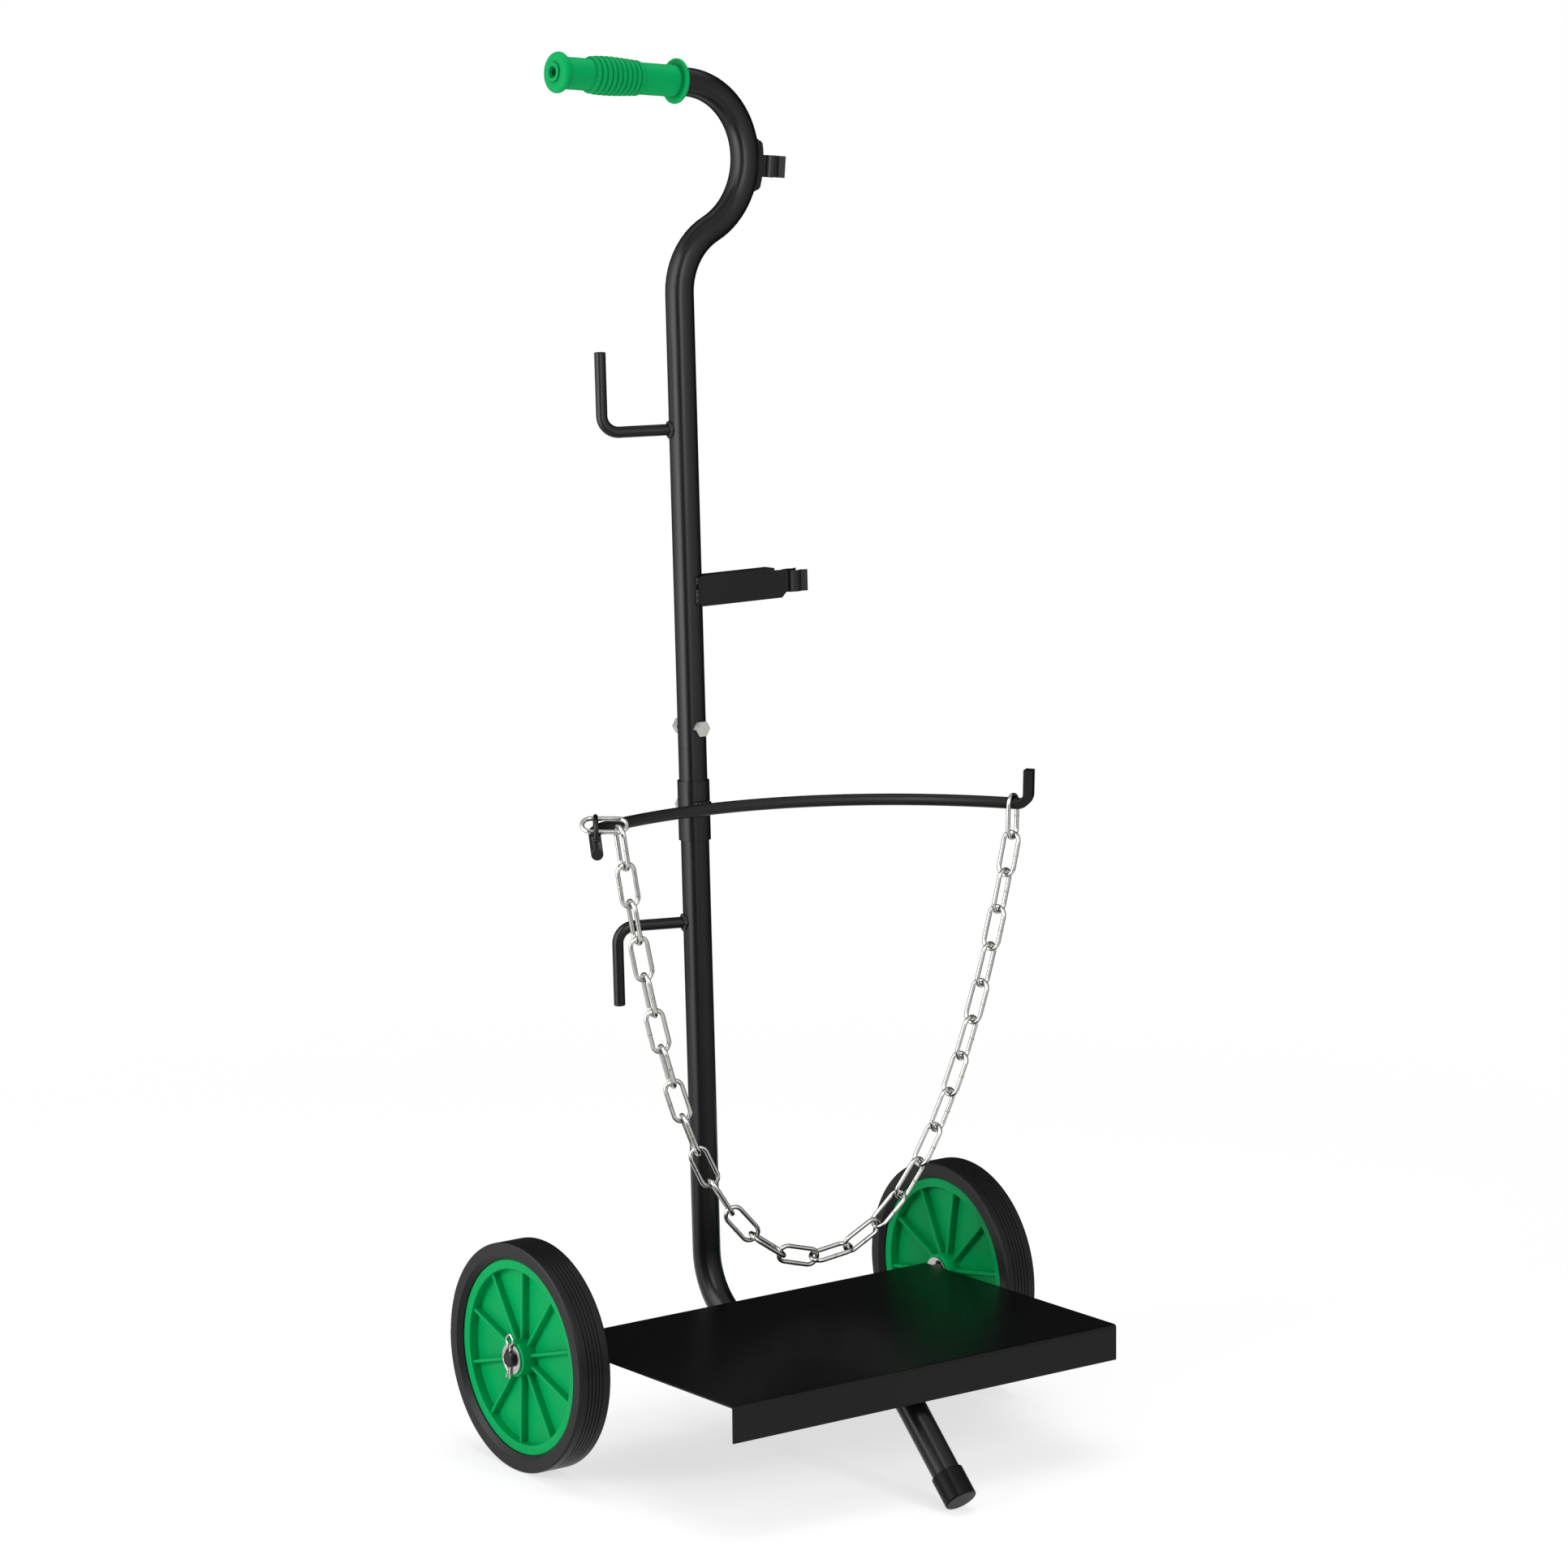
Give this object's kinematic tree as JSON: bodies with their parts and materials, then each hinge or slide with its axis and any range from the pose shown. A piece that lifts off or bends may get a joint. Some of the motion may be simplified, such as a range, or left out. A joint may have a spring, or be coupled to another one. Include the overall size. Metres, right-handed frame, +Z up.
{
  "type": "bottle cart",
  "caption": "Single-mast cart for a gas bottle: wheels on an axle, folded load plate, cranked handle with grip, retaining bar and chain, hose hooks and torch clips.",
  "frame": {"origin": "on the floor under the middle of the cart's bounding box, in the mast's plane", "axes": "+X along the axle to the retaining bar's hook end, +Y from the plate's lip to the mast, +Z up"},
  "size_m": [0.5117, 0.4611, 1.2013],
  "materials": {
    "powder_coat": "satin black powder coat",
    "spring_steel": "blackened spring steel",
    "zinc_steel": "bright zinc plate",
    "green_plastic": "moulded green plastic, slight gloss",
    "tyre_rubber": "solid black rubber, slight gloss",
    "cap_rubber": "black rubber"
  },
  "bodies": {
    "frame": {"lower_tube": "powder_coat", "upper_tube": "powder_coat", "joint_spigot": "powder_coat", "joint_bolt": "zinc_steel", "joint_nut": "zinc_steel", "collar": "powder_coat", "collar_screw": "zinc_steel", "arc_bar": "powder_coat", "chain_staple": "powder_coat", "upper_hose_hook": "powder_coat", "lower_hose_hook": "powder_coat", "lower_clip_bracket": "powder_coat", "lower_clip": "spring_steel", "upper_clip_saddle": "powder_coat", "upper_clip": "spring_steel", "clip_rivets": "zinc_steel", "grip": "green_plastic", "foot_cap": "cap_rubber", "load_plate": "powder_coat", "plate_bolts": "zinc_steel", "front_rail": "powder_coat", "axle": "powder_coat", "axle_stop_pins": "powder_coat", "inner_washers": "zinc_steel", "outer_washers": "zinc_steel", "wheel_clips": "zinc_steel", "chain_first_link": "zinc_steel", "chain_last_link": "zinc_steel"},
    "wheel_left": {"rim_left": "green_plastic", "tyre_left": "tyre_rubber"},
    "wheel_right": {"rim_right": "green_plastic", "tyre_right": "tyre_rubber"},
    "chain": {"chain_links": "zinc_steel"}
  },
  "joints": [
    {"name": "wheel_left_roll", "type": "hinge", "parent": "frame", "child": "wheel_left", "pos_m": [-0.2315, 0.0858, 0.1], "axis": [1, 0, 0], "continuous": true},
    {"name": "wheel_right_roll", "type": "hinge", "parent": "frame", "child": "wheel_right", "pos_m": [0.2315, 0.0858, 0.1], "axis": [1, 0, 0], "continuous": true},
    {"name": "chain_swing", "type": "hinge", "parent": "frame", "child": "chain", "pos_m": [-0.13875, 0.0885, 0.54787], "axis": [0.9814, -0.164, -0.0994], "range_deg": [-35, 8]}
  ]
}
